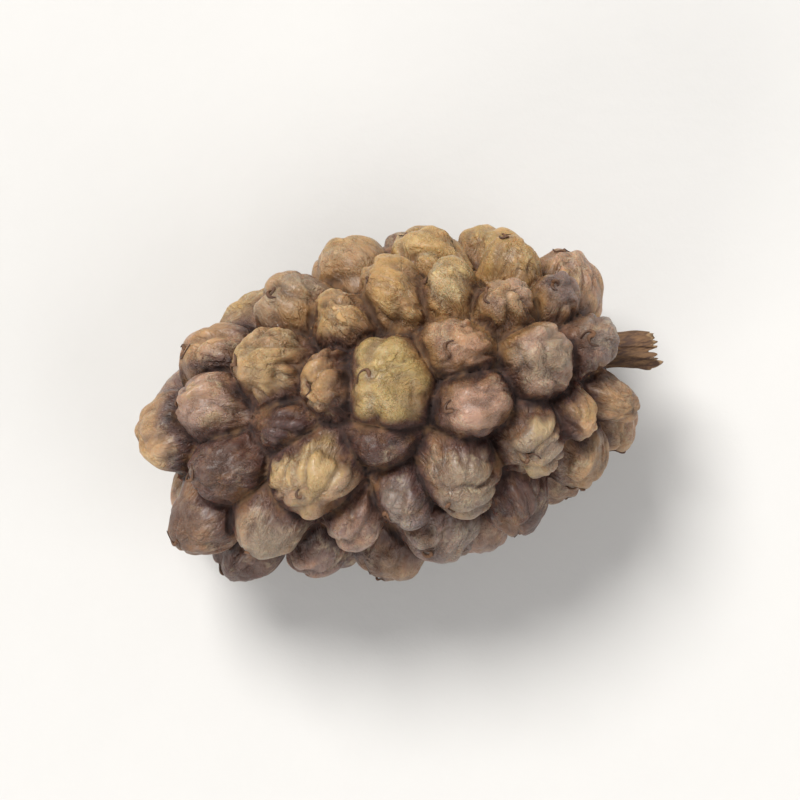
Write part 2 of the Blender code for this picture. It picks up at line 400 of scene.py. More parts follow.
def ballMesh(subdivisions):
    bm = bmesh.new()
    bmesh.ops.create_icosphere(bm, subdivisions=subdivisions, radius=1.0)
    points = np.array([v.co for v in bm.verts], dtype=float)
    faces = np.array([[v.index for v in face.verts] for face in bm.faces])
    bm.free()
    return points, faces


# The skin: all the drupelets and the core, melted into one closed surface
skinMesh = {
    "ballCuts": 5,
    "coreCuts": 4,
    "grain": 0.0985,  # size of its squares, in millimetres
    "smoothing": 0.5,
}


def meltedSkin():
    ball, ballFaces = ballMesh(skinMesh["ballCuts"])
    points, faces = [], []
    for i, trait in enumerate(traits):
        shaped = ball * driedRadius(ball, trait)[:, None]
        faces.append(ballFaces + len(ball) * i)
        points.append(shaped @ halves[i].T + middles[i])
    core, coreFaces = ballMesh(skinMesh["coreCuts"])
    share = 1.0 - drupelets["coreDepth"] / np.array([semiLength, semiWidth, semiWidth])
    faces.append(coreFaces + len(ball) * len(traits))
    points.append(crest(core) * share)

    mesh = bpy.data.meshes.new("melting")
    mesh.from_pydata(np.vstack(points).tolist(), [], np.vstack(faces).tolist())
    melting = newObject("melting", mesh)
    remesh = melting.modifiers.new("skin", "REMESH")
    remesh.mode = "VOXEL"
    remesh.voxel_size = skinMesh["grain"]
    melting.modifiers.new("even", "SMOOTH").factor = skinMesh["smoothing"]
    graph = bpy.context.evaluated_depsgraph_get()
    melted = bpy.data.meshes.new_from_object(melting.evaluated_get(graph))
    bpy.data.objects.remove(melting, do_unlink=True)
    bpy.data.meshes.remove(mesh)
    return melted


def readPoints(mesh, field):
    found = np.empty(len(mesh.vertices) * 3)
    mesh.vertices.foreach_get(field, found)
    return found.reshape(-1, 3)


melted = meltedSkin()
print("skin melted,", len(melted.vertices), "points")


# Only the outer shell stays, without small pockets that are shut away between drupelets
def outerShell(mesh):
    edges = np.empty(len(mesh.edges) * 2, dtype=int)
    mesh.edges.foreach_get("vertices", edges)
    first, second = edges.reshape(-1, 2).T
    shell, before = np.arange(len(mesh.vertices)), None
    while before is None or (shell != before).any():
        before = shell.copy()
        np.minimum.at(shell, first, before[second])
        np.minimum.at(shell, second, before[first])
        shell = shell[shell]
    inside = shell != np.bincount(shell).argmax()
    bm = bmesh.new()
    bm.from_mesh(mesh)
    bmesh.ops.delete(bm, geom=[v for v in bm.verts if inside[v.index]], context="VERTS")
    bm.to_mesh(mesh)
    bm.free()
    print("shells inside taken away:", len(np.unique(shell)) - 1)


outerShell(melted)


# The drupelet that each point is on, the next, how far the first is, how much further the second
def nearestTwo(points):
    away = [np.linalg.norm(inBall(points, i), axis=1) for i in range(len(middles))]
    away = np.stack(away, axis=1)
    own, other = np.argsort(away, axis=1)[:, :2].T
    rows = np.arange(len(points))
    return own, other, away[rows, own], away[rows, other] - away[rows, own]


# Fine wrinkles, which run up each drupelet towards its scar, and creases down its sides
wrinkles = {
    # how many to a drupelet's radius, how narrow, how sharp, how deep
    "coarse": (1.25, 2.6, 2, 0.135),
    "fine": (2.5, 2.4, 2, 0.06),
    "sides": (2.3, 3.2, 1.5, 0.095),
    "stretch": 0.5,  # below 1 draws them out towards the scar
    "warp": (1.1, 0.38),  # how often they wander, and how far
    "sideStretch": 0.35,
    "sideWaver": 0.3,
    "sideFrom": (0.6, 1.15),  # angles from the scar between which they start
    "smoothSpots": (0.9, -0.25, 0.25),  # without fine ones: how often, and the edge
    "leastFine": 0.25,
    "crestGap": (0.0, 0.42),  # gap to the next drupelet, in radii, up to a crest
    "riseGap": 0.8,
    "coreFrom": (1.1, 1.3),  # outside these radii there is only the core
    "wrinkledFrom": (0.03, 0.4),
    "range": (0.7, 1.7),  # from the plumpest drupelet to the most shrivelled
    "rounding": 0.3,  # how much lower each one's edge lies
    "roundingFrom": 0.75,  # from this gap to the next one
    "roundingPower": 2.4,
    "cleft": 0.16,  # the narrow clefts, on top of that
    "cleftWidth": 0.07,
    "cleftEnd": (1.15, 1.4),
    "grainReach": (0.6, 1.6),  # how far the finest creases spread down the sides
    "darker": (-0.1, 0.16),  # from the palest sides to the darkest
}


# Creases run where a noise passes through nought, with rounded skin between them
def creasesAt(points, kind, offset):
    often, narrow, sharp, _ = wrinkles[kind]
    return np.clip(1.0 - np.abs(noiseAt(points, often, offset)) * narrow, 0.0, 1.0) ** sharp


plumpSkin = readPoints(melted, "co")
normals = readPoints(melted, "normal")
own, other, far, gap = nearestTwo(plumpSkin)
onDrupelet = 1.0 - smooth(*wrinkles["coreFrom"], far)
crestShare = smooth(*wrinkles["crestGap"], gap) * onDrupelet
rise = np.clip(gap / wrinkles["riseGap"], 0.0, 1.0) * onDrupelet


# What each drupelet brings to its own part of the skin
def skinFacts(points):
    grain = np.zeros((len(points), 3))
    fold, scar, sides = np.zeros((3, len(points)))
    for i, trait in enumerate(traits):
        mine = own == i
        ball = unit(inBall(points[mine], i))
        polar, turn, lumps, folds, scar[mine] = marksAt(ball, trait)
        fold[mine] = folds / puckers["foldDepth"][1]
        way = turn + wrinkles["sideWaver"] * lumps
        lengthwise = np.c_[np.cos(way), np.sin(way), wrinkles["sideStretch"] * polar]
        creases = creasesAt(lengthwise, "sides", trait["offset"])
        sides[mine] = creases * smooth(*wrinkles["sideFrom"], polar)
        frameOfScar = np.c_[trait["side"], trait["other"], trait["scar"]]
        grain[mine] = ball @ frameOfScar * [1.0, 1.0, wrinkles["stretch"]] + trait["offset"]
    return grain, np.clip(fold, 0.0, 1.0), scar, sides


grain, fold, scar, sides = skinFacts(plumpSkin)


def drawEach(step, ends):
    draw = random.Random(fruit["seed"] + step)
    return np.array([draw.uniform(*ends) for _ in traits])


# How deep the skin is creased, and its share of the deepest. Bare triples move noises apart.
def creaseDips():
    shrivelled = drawEach(2, wrinkles["range"])[own]
    often, reach = wrinkles["warp"]
    warp = np.stack([noiseAt(grain, often, (k * 5.3, 2.2, k * 3.1)) for k in range(3)], axis=1)
    warped = grain + reach * warp
    coarse = creasesAt(warped, "coarse", (3.1, 7.7, 1.9))
    fine = creasesAt(warped, "fine", (9.4, 2.6, 5.3))
    often, low, high = wrinkles["smoothSpots"]
    spots = smooth(low, high, noiseAt(grain, often, (1.5, 4.2, 8.8)))
    least = wrinkles["leastFine"]
    wrinkled = smooth(*wrinkles["wrinkledFrom"], crestShare)
    coarseDepth, fineDepth, sideDepth = (wrinkles[kind][-1] for kind in ("coarse", "fine", "sides"))
    dips = coarseDepth * coarse * shrivelled
    dips += fineDepth * fine * (least + (1.0 - least) * spots)
    dips += sideDepth * sides * shrivelled
    share = np.clip(dips / (coarseDepth + fineDepth), 0.0, 1.0)
    return dips * wrinkled, share * wrinkled


dips, creased = creaseDips()
edge = np.clip(1.0 - gap / wrinkles["roundingFrom"], 0.0, 1.0)
clefts = wrinkles["rounding"] * edge ** wrinkles["roundingPower"]
clefts += wrinkles["cleft"] * np.exp(-gap / wrinkles["cleftWidth"])
clefts *= 1.0 - smooth(*wrinkles["cleftEnd"], far)
inward = -facing(directionOf(plumpSkin))
skin = plumpSkin - normals * dips[:, None] + inward * clefts[:, None]
print("wrinkled")


# A closed tube: rings of points from its foot to its end, then one point to close each
def tubeFaces(rings, around, start=0):
    faces = []
    last = start + (rings - 1) * around
    for ring in range(start, last, around):
        for k in range(around):
            a, b = ring + k, ring + (k + 1) % around
            faces.append((a, b, b + around, a + around))
    foot = last + around
    for k in range(around):
        after = (k + 1) % around
        faces.append((start + after, start + k, foot))
        faces.append((last + k, last + after, foot + 1))
    return faces


# The short dry stub of the stalk: shrunken fibres under a thin bark, broken off unevenly
stub = {
    "radius": 0.56,
    "foot": 6.1,  # where it starts, inside the core
    "end": 8.7,
    "bend": 0.42,
    "waist": 0.14,  # how far it shrank along its middle
    "flare": 0.26,  # how much wider it is at its foot
    "lip": 0.05,  # and at its end
    "oval": (0.12, 0.8),  # how far from round, and which way
    "furrows": 0.085,  # how deep the bark sank between its fibres
    # layers of noise: how often, how much
    "furrowLayers": ((1.9, 0.9), (4.6, 0.5)),
    "tornLayers": ((2.6, 1.0), (7.5, 0.7), (15.0, 0.35)),
    "splinterLayers": ((5.0, 1.0), (11.0, 0.7)),
    "drift": 1.6,  # how much the bark changes along it
    "fray": 0.34,
    "frayFrom": 0.62,
    "blunt": (0.3, 0.3),  # the longest fibres end bluntly: from here on, and how much is left
    "splinters": 0.16,
    "cup": 0.26,  # how far its middle broke off deeper than its rim
    "cupWithin": 0.55,
    "around": 144,
    "along": 48,
    "inward": 16,
    "seed": 7,
}


def makeStub():
    draw = random.Random(stub["seed"])
    shift = [draw.uniform(0.0, 30.0) for _ in range(3)]
    around, along, inward = stub["around"], stub["along"], stub["inward"]
    turns = np.arange(around) * math.tau / around
    circle = np.c_[np.cos(turns), np.sin(turns), np.zeros(around)]
    # a few broad furrows that differ in width, and narrow ones between them
    layers = stub["furrowLayers"]
    furrows = sum(amount * np.abs(noiseAt(circle, often, shift)) for often, amount in layers)
    torn = layered(circle, stub["tornLayers"], shift)
    blunt, left = stub["blunt"]
    torn = np.where(torn > blunt, blunt + left * (torn - blunt), torn)
    oval, turned = stub["oval"]
    points = []
    for ring in range(along + 1):
        share = ring / along
        twisted = circle + [0.0, 0.0, stub["drift"] * share]
        rough = noiseAt(twisted, 2.2, shift) + 0.5 * noiseAt(twisted * [1.0, 1.0, 0.5], 7.0, shift)
        flare = stub["flare"] * (1.0 - share) - stub["lip"] + stub["lip"] * smooth(0.85, 1.0, share)
        flare -= stub["waist"] * math.sin(math.pi * min(1.0, 1.15 * share))
        radius = stub["radius"] * (1.0 + flare + oval * np.cos(2.0 * turns + turned))
        radius += stub["furrows"] * (2.2 * furrows - 0.8 + 0.55 * rough)
        reach = stub["foot"] + (stub["end"] - stub["foot"]) * share
        reach += stub["fray"] * torn * smooth(stub["frayFrom"], 1.0, share)
        across = radius * np.cos(turns) - stub["bend"] * share**2
        points.append(np.c_[reach, across, radius * np.sin(turns)])
    # the broken face, from its rim to its middle
    rim = points[along]
    middle = np.array([stub["end"] - stub["cup"], -stub["bend"], 0.0])
    for step in range(1, inward):
        share = step / inward
        fall = smooth(0.0, stub["cupWithin"], share)
        ringPoints = rim + (middle - rim) * [fall, share, share]
        splinters = layered(circle * (1.0 - share), stub["splinterLayers"], shift)
        ringPoints[:, 0] += stub["splinters"] * splinters
        points.append(ringPoints)
    faces = tubeFaces(len(points), around)
    points = np.vstack([*points, [stub["foot"], 0.0, 0.0], middle])
    broken = np.ones(len(points))
    broken[: along * around] = broken[-2] = 0.0
    return points, faces, broken


stubPoints, stubFaces, broken = makeStub()


# The dried threads that the styles left: two short brown ones rise at a scar, curl and lie down
# along the skin. Many have rubbed off, or only one is left.
threads = {
    "share": 0.72,  # how many drupelets still have any
    "pairs": 0.55,  # and how many of those have both
    "length": (0.18, 0.4),  # in radii of the drupelet
    "thickness": (0.052, 0.078),
    "taper": (0.65, 1.6),
    "knots": (0.2, 8.0),  # how much thicker in places, and how often
    "flatness": 0.7,
    "curl": (0.6, 2.2),
    "fork": (1.7, 2.8),  # angle between the two of a pair
    "lift": 0.05,
    "arch": (0.8, 2.6),  # in lifts
    "seen": (0.3, 0.62),  # skin nearer or further than this is another drupelet's
    "lookFrom": 1.4,
    "around": 8,
    "along": 18,
    "seed": 91,
}


# Follows the skin of one drupelet from its scar. One that would leave it is left out.
def threadPath(tree, i, turn, length, curl, arch):
    trait = traits[i]
    path, ups = [], []
    along = threads["along"]
    for step in range(along):
        share = step / (along - 1)
        polar = length * share
        way = turn + curl * share * share
        ball = trait["scar"] * math.cos(polar) + math.sin(polar) * (
            trait["side"] * math.cos(way) + trait["other"] * math.sin(way)
        )
        out = halves[i] @ ball
        start = Vector(middles[i] + out * threads["lookFrom"])
        found, normal, _, away = tree.ray_cast(start, Vector(-out))
        reach = np.linalg.norm(out)
        nearest, furthest = threads["seen"]
        if found is None or not nearest * reach < away < furthest * reach:
            return None
        # it starts under the skin and ends above it
        up = -0.9 + arch * math.sin(math.pi * min(share * 1.3, 1.0)) + 1.5 * share
        path.append(np.array(found) + np.array(normal) * (threads["lift"] * up))
        ups.append(np.array(normal))
    path = np.array(path)
    for _ in range(3):
        path[1:-1] = (path[:-2] + 2.0 * path[1:-1] + path[2:]) / 4.0
    return path, np.array(ups)


# A closed, tapering and slightly flat thread along a path
def threadMesh(path, ups, thick, phase, start):
    around, along = threads["around"], threads["along"]
    thinner, late = threads["taper"]
    knotty, often = threads["knots"]
    turns = np.arange(around) * math.tau / around
    tangents = unit(np.gradient(path, axis=0))
    rings = []
    for step in range(along):
        share = step / (along - 1)
        up = unit(ups[step] - tangents[step] * (ups[step] @ tangents[step]))
        side = np.cross(tangents[step], up)
        radius = thick * (1.0 - thinner * share**late)
        radius *= 1.0 + knotty * math.sin(often * share + phase)
        upright = threads["flatness"] * np.sin(turns)[:, None] * up
        rings.append(path[step] + radius * (np.cos(turns)[:, None] * side + upright))
    rings.append(path[:1] - tangents[0] * thick * 0.4)
    rings.append(path[-1:] + tangents[-1] * thick * 0.35)
    return np.vstack(rings), tubeFaces(along, around, start)


def makeThreads(tree):
    draw = random.Random(threads["seed"])
    points, faces, start = [], [], 0
    for i in range(len(traits)):
        wanted = draw.random() < threads["share"]
        count = 2 if draw.random() < threads["pairs"] else 1
        turn = draw.uniform(0.0, math.tau)
        for branch in range(2):
            length = draw.uniform(*threads["length"])
            thick = draw.uniform(*threads["thickness"])
            curl = draw.uniform(*threads["curl"]) * draw.choice((-1, 1))
            arch = draw.uniform(*threads["arch"])
            way = turn + branch * draw.uniform(*threads["fork"])
            found = wanted and branch < count and threadPath(tree, i, way, length, curl, arch)
            if found:
                ringPoints, ringFaces = threadMesh(*found, thick, turn, start)
                points.append(ringPoints)
                faces += ringFaces
                start += len(ringPoints)
    print("style threads:", len(points))
    shares = np.repeat(np.linspace(0.0, 1.0, threads["along"]), threads["around"])
    return np.vstack(points), faces, np.tile([*shares, 0.0, 1.0], len(points))


def moveSkin(points):
    melted.vertices.foreach_set("co", points.ravel())
    melted.update()


moveSkin(skin)
bm = bmesh.new()
bm.from_mesh(melted)
skinTree = BVHTree.FromBMesh(bm)
bm.free()
threadPoints, threadFaces, threadShare = makeThreads(skinTree)


# The fruit dried a little bent and not quite round
def bendOver(points):
    x, y, z = points.T / semiLength
    often, along, turned = fruit["outOfRoundWaves"]
    squeeze = fruit["outOfRound"] * np.sin(often * x + along)
    squeeze = 1.0 + squeeze * np.cos(2.0 * np.arctan2(z, y) + turned)
    y = y * squeeze - fruit["bend"] / semiLength * x**2
    z = z * (2.0 - squeeze) + fruit["tipLower"] * x
    return np.c_[x, y, z] * semiLength


# and squat where it lay
def press(points):
    limit = fruit["pressLimit"]
    below = np.clip(lowest + fruit["pressed"] - points[:, 2], 0.0, None)
    points[:, 2] += below - limit * (1.0 - np.exp(-below / limit))


skin, stubPoints, threadPoints = bendOver(skin), bendOver(stubPoints), bendOver(threadPoints)
lowest = skin[:, 2].min()
for points in (skin, stubPoints, threadPoints):
    press(points)
together = np.vstack([skin, stubPoints])
low, high = together.min(axis=0), together.max(axis=0)
wanted = cadHigh - cadLow
wanted[2] += fruit["settled"]


# Into the size and place of the frame's own solid, flat where it rests
def settle(points):
    settled = (points - (low + high) / 2) * wanted / (high - low) + (cadLow + cadHigh) / 2
    settled[:, 2] -= fruit["settled"] / 2
    settled[:, 2] = np.maximum(settled[:, 2], 0.0)
    return settled


skin, stubPoints, threadPoints = settle(skin), settle(stubPoints), settle(threadPoints)
moveSkin(skin * mm)
print("dried and settled")


# What the materials read from each point
def keepValue(mesh, name, values, kind="FLOAT", field="value"):
    kept = mesh.attributes.new(name, kind, "POINT")
    kept.data.foreach_set(field, np.ravel(values))


def drupeletTones():
    draw = random.Random(fruit["seed"] + 5)
    names = [row[4] for row in drupelets["facingUp"]]
    for _, y, z in middles[len(names) :]:
        group = "otherTones"
        if z > drupelets["edgeBelow"] and abs(y) > drupelets["edgeFrom"]:
            group = "upperEdge" if y > 0.0 else "lowerEdge"
        names.append(draw.choice(drupelets[group]))
    alike = drupelets["alike"]
    found = np.array([tones[name] for name in names]) ** (1.0 - alike)
    found *= np.array(tones["tan"]) ** alike
    light = np.array([draw.uniform(*drupelets["lightness"]) for _ in names])
    warm = np.array([draw.gauss(0.0, drupelets["warmth"]) for _ in names])
    light = light[:, None] * np.c_[1.0 + warm, np.ones(len(names)), 1.0 - warm]
    seconds = [row[5] for row in drupelets["facingUp"]]
    seconds += [draw.choice(drupelets["patchTones"][name]) for name in names[len(seconds) :]]
    return found * light, np.array([tones[name] for name in seconds]) * light


# Where a drupelet has its second tone: in soft patches, and over most of some
def patchesOf(points):
    draw = random.Random(fruit["seed"] + 7)
    found = np.zeros(len(points))
    for i in range(len(traits)):
        reach = draw.uniform(*drupelets["patchReach"])
        shift = farOff(draw, 30.0)
        mine = own == i
        often = 1.0 / drupelets["patchSize"]
        found[mine] = noiseAt(inBall(points[mine], i), often, shift) + reach
    return found


# Neighbours share their tones along a cleft, and what is bare is brown
def keepTone(name, toneOf):
    most, within = drupelets["shared"]
    blend = most * np.exp(-gap / within)[:, None]
    here = toneOf[own] * (1.0 - blend) + toneOf[other] * blend
    bare = smooth(*drupelets["bareFrom"], far)[:, None]
    here = here * (1.0 - bare) + np.array(tones["brown"]) * bare
    opaque = np.ones(len(here))
    keepValue(melted, name, np.c_[here, opaque], "FLOAT_COLOR", "color")


toneOf, secondOf = drupeletTones()
keepTone("tone", toneOf)
keepTone("secondTone", secondOf)
keepValue(melted, "patched", patchesOf(plumpSkin))
# painted light and shade across the whole fruit: clefts and sides paler towards the light, darker away
# from it
across = skin @ drupelets["lightSlant"]
across = np.interp(-across, np.negative(drupelets["awayFromLightAcross"]), (0.0, 1.0))
keepValue(melted, "juice", drupelets["leastAwayFromLight"] + (1.0 - drupelets["leastAwayFromLight"]) * across)
keepValue(melted, "crestShare", crestShare)
darker = drawEach(6, wrinkles["darker"])[own]
keepValue(melted, "rise", rise - darker * smooth(0.0, 0.3, rise))
keepValue(melted, "fold", np.maximum(fold, creased * 0.8))
keepValue(melted, "scar", scar * smooth(0.1, 0.5, crestShare))
offsets = np.array([trait["offset"] for trait in traits])[own]
spread = np.clip(far, *wrinkles["grainReach"])[:, None]
keepValue(melted, "grain", (grain - offsets) * spread + offsets, "FLOAT_VECTOR", "vector")

melted.name = "driedSkin"
melted.shade_smooth()
driedSkin = newObject("driedSkin", melted)
stalkStub = meshObject("stalkStub", stubPoints, stubFaces)
keepValue(stalkStub.data, "broken", broken)
styleThreads = meshObject("styleThreads", threadPoints, threadFaces)
keepValue(styleThreads.data, "reach", threadShare)
print("pieces made")


# Adds nodes to one tree. Settings come first by their names, then inputs, or at0, at1 and so on.
class Maker:
    def __init__(self, tree):
        self.tree = tree

    def add(self, kind, **given):
        node = self.tree.nodes.new(kind)
        for name, value in given.items():
            if hasattr(node, name):
                setattr(node, name, value)
                continue
            plain = name.replace("_", " ")
            named = [s for s in node.inputs if s.name == plain and s.enabled]
            socket = named[0] if named else node.inputs[int(name[2:])]
            if isinstance(value, bpy.types.NodeSocket):
                self.tree.links.new(value, socket)
            else:
                colour = socket.type == "RGBA" and len(value) == 3
                socket.default_value = (*value, 1.0) if colour else value
        return node.outputs

    def group(self, tree, **inputs):
        return self.add("ShaderNodeGroup", node_tree=tree, **inputs)

    def attribute(self, name, output="Fac"):
        return self.add("ShaderNodeAttribute", attribute_name=name)[output]

    def maths(self, operation, first, second=0.0):
        return self.add("ShaderNodeMath", operation=operation, at0=first, at1=second)[0]

    def times(self, first, second):
        return self.maths("MULTIPLY", first, second)

    def plus(self, first, second):
        return self.maths("ADD", first, second)

    def stretch(self, vector, factors):
        return self.add("ShaderNodeVectorMath", operation="MULTIPLY", at0=vector, at1=factors)[0]

    # how many to a millimetre, their detail, roughness and distortion
    def noise(self, vector, *kind):
        kind = dict(zip(("Scale", "Detail", "Roughness", "Distortion"), kind))
        return self.add("ShaderNodeTexNoise", Vector=vector, **kind)["Fac"]

    # a noise against its middle, so that it goes either way
    def swing(self, noise):
        return self.maths("SUBTRACT", noise, 0.5)

    # from nought at the first end to 1 at the second, or to two values given after them
    def mapRange(self, value, *ends):
        ends = dict(zip(("From_Min", "From_Max", "To_Min", "To_Max"), ends))
        kind = {"interpolation_type": "SMOOTHSTEP"}
        return self.add("ShaderNodeMapRange", **kind, Value=value, **ends)[0]

    def mixColour(self, share, first, second, blend="MIX"):
        kind = {"data_type": "RGBA", "blend_type": blend}
        return self.add("ShaderNodeMix", **kind, at0=share, at6=first, at7=second)[2]

    def mixValue(self, share, first, second):
        return self.add("ShaderNodeMix", at0=share, at2=first, at3=second)[0]

    def shaded(self, colour, shade):
        grey = self.add("ShaderNodeCombineColor", at0=shade, at1=shade, at2=shade)[0]
        return self.mixColour(1.0, colour, grey, "MULTIPLY")

    def bump(self, height, distance, **others):
        return self.add("ShaderNodeBump", Distance=distance, Height=height, **others)[0]

    def grained(self, places, size, distance, **others):
        height = self.group(fineGrain, Places=places, Size=size)["Height"]
        return self.bump(height, distance, **others)

    def finish(self, **inputs):
        shader = self.add("ShaderNodeBsdfPrincipled", **inputs)[0]
        self.add("ShaderNodeOutputMaterial", Surface=shader)


# Places is a vector, every other input and output a plain number
def newGroup(name, inputs, outputs):
    tree = bpy.data.node_groups.new(name, "ShaderNodeTree")
    for way, sockets in (("INPUT", inputs), ("OUTPUT", outputs)):
        for label, value in sockets.items():
            kind = "NodeSocketVector" if label == "Places" else "NodeSocketFloat"
            socket = tree.interface.new_socket(label, in_out=way, socket_type=kind)
            if value is not None:
                socket.default_value = value
    return Maker(tree)


# Places on the object in millimetres
def makePlaces():
    make = newGroup("places", {}, {"Places": None})
    here = make.add("ShaderNodeTexCoord")["Object"]
    make.add("NodeGroupOutput", Places=make.stretch(here, (1.0 / mm,) * 3))
    return make.tree


# Uneven darkness of dry plant matter, broad and fine together, about 1 on the whole
def makeDryMottle():
    inputs = {"Places": None, "Size": 1.0, "Amount": 0.2}
    make = newGroup("dryMottle", inputs, {"Shade": None, "Patches": None})
    given = make.add("NodeGroupInput")
    often = make.maths("DIVIDE", 1.0, given["Size"])
    broad = make.noise(given["Places"], often, 2.0, 0.55)
    fine = make.noise(given["Places"], make.times(often, 4.7), 4.0, 0.62)
    both = make.plus(make.times(broad, 0.6), make.times(fine, 0.4))
    swing = make.times(make.swing(both), make.times(given["Amount"], 4.0))
    patches = make.mapRange(broad, 0.42, 0.62)
    make.add("NodeGroupOutput", Shade=make.plus(swing, 1.0), Patches=patches)
    return make.tree


# Fine relief that comes on all the dry surfaces
def makeFineGrain():
    make = newGroup("fineGrain", {"Places": None, "Size": 0.1}, {"Height": None})
    given = make.add("NodeGroupInput")
    often = make.maths("DIVIDE", 1.0, given["Size"])
    grains = make.noise(given["Places"], often, 3.0, 0.6)
    pits = make.add("ShaderNodeTexVoronoi", Vector=given["Places"], Scale=make.times(often, 0.8))
    height = make.plus(grains, make.times(pits["Distance"], 0.5))
    make.add("NodeGroupOutput", Height=height)
    return make.tree


places = makePlaces()
dryMottle = makeDryMottle()
fineGrain = makeFineGrain()


# Each one starts from the places on its piece and from their mottle
def newMaterial(piece, name, size, amount):
    material = bpy.data.materials.new(name)
    material.use_nodes = True
    material.node_tree.nodes.clear()
    piece.data.materials.append(material)
    make = Maker(material.node_tree)
    here = make.group(places)[0]
    return make, here, make.group(dryMottle, Places=here, Size=size, Amount=amount)


flesh = {
    "deep": srgb(44, 29, 26),  # down between the drupelets: their own darker flesh, with painted shade over it
    "litDeep": srgb(82, 58, 39),  # and on the side of the fruit towards the light, with less painted shade
    # the drupelets' sides: their own browner flesh, with painted shade
    "side": srgb(94, 66, 54),
    "litSide": srgb(148, 112, 70),
    "shade": srgb(76, 53, 51),  # painted shade on the sides, most on the side of the fruit away from the light
    "warm": srgb(152, 112, 72),  # where the skin dried onto sweeter flesh
    "sugarAndSheen": srgb(200, 186, 154),  # dried sugar on the crests, with a painted highlight there
    "scar": srgb(74, 48, 35),
    # how much of each comes on at the most
    "secondShare": 0.5,
    "foldShadeShare": 0.55,
    "creaseShadeShare": 0.22,
    "warmShare": 0.4,
    "sugarAndSheenShare": 0.34,
    "scarShare": 0.75,
    # from which value to which it comes on
    "darkerAwayFromLight": (0.05, 0.6),
    "darkestAwayFromLight": (0.6, 1.25),
    "cleftShadeRise": (0.02, 0.26),
    "sideShadeRise": (0.16, 0.78),
    "secondFrom": (-0.06, 0.16),
    "foldShadeFrom": (0.15, 0.95),
    "sugarAndSheenFrom": (0.45, 1.0),
    # how far they stray from what was measured, and the noise for it
    "riseStray": (0.6, 1.6, 3.0, 0.55),
    "juiceStray": (2.2, 0.45, 2.0, 0.55),
    "patchedStray": (0.9, 2.6, 4.0, 0.62),
    # spots: their noise, where they come on, and what they then give
    "warmSpots": ((0.9, 3.0, 0.6), (0.48, 0.7)),
    "sugarAndSheenSpots": ((3.4, 5.0, 0.68), (0.46, 0.66)),
    "wrinkledSpots": ((0.8, 2.0, 0.55), (0.4, 0.62, 0.25, 1.0)),
    "crinkledSpots": ((1.1, 2.0, 0.55), (0.42, 0.6)),
    "roughness": ((2.8, 4.0, 0.55), (0.3, 0.7, 0.34, 0.5)),
    "bloomRoughness": 0.16,
    "cleftRoughness": 0.85,
    # creases: their noise, and how wide they are in it
    "wrinkles": ((4.2, 4.0, 0.55, 0.5), 0.14),
    "crinkles": ((10.5, 3.0, 0.6, 0.6), 0.12),
    "wrinkleBump": 0.000065,
    "crinkle": 0.45,  # the finest creases, against the wrinkles
    "mottle": (1.3, 0.3),  # size of its patches in millimetres, how much
    "grain": (0.12, 0.000012),
    "subsurface": 0.28,
    "coat": 0.22,
}


